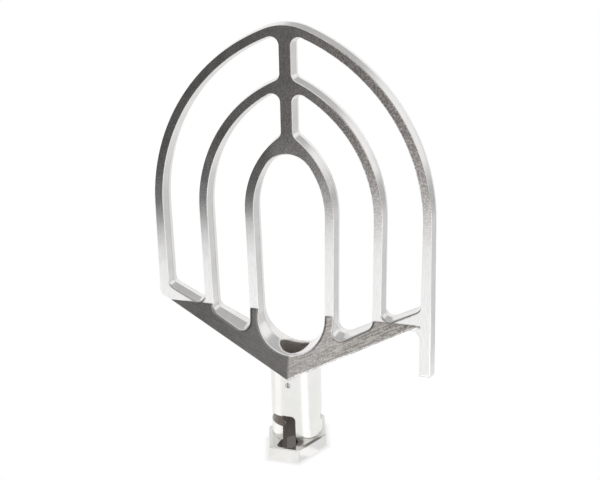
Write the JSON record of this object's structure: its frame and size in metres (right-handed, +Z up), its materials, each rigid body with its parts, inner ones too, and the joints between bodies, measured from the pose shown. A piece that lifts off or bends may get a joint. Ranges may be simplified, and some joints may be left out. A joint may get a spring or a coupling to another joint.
{
  "type": "planetary mixer flat beater paddle",
  "caption": "Cast flat beater paddle: nested pointed bows on a V yoke, with a tubular hub, bayonet slots and a six-sided pin collar that push and lock onto a mixer shaft.",
  "frame": {"origin": "on the bore axis, at the end face of the pin collar that the paddle stands on", "axes": "+Z up along the bore towards the point of the bows, +X across the bows towards the tail, -Y out of the front face"},
  "size_m": [0.207, 0.062, 0.3145],
  "materials": {
    "cast_aluminium": "ground and burnished casting",
    "hub_steel": "turned, satin",
    "collar_steel": "polished, satin",
    "screw_steel": "dark steel"
  },
  "bodies": {
    "root": {"beater_frame": "cast_aluminium", "hub_sleeve": "hub_steel", "pin_collar": "collar_steel", "set_screw": "screw_steel"}
  },
  "joints": []
}
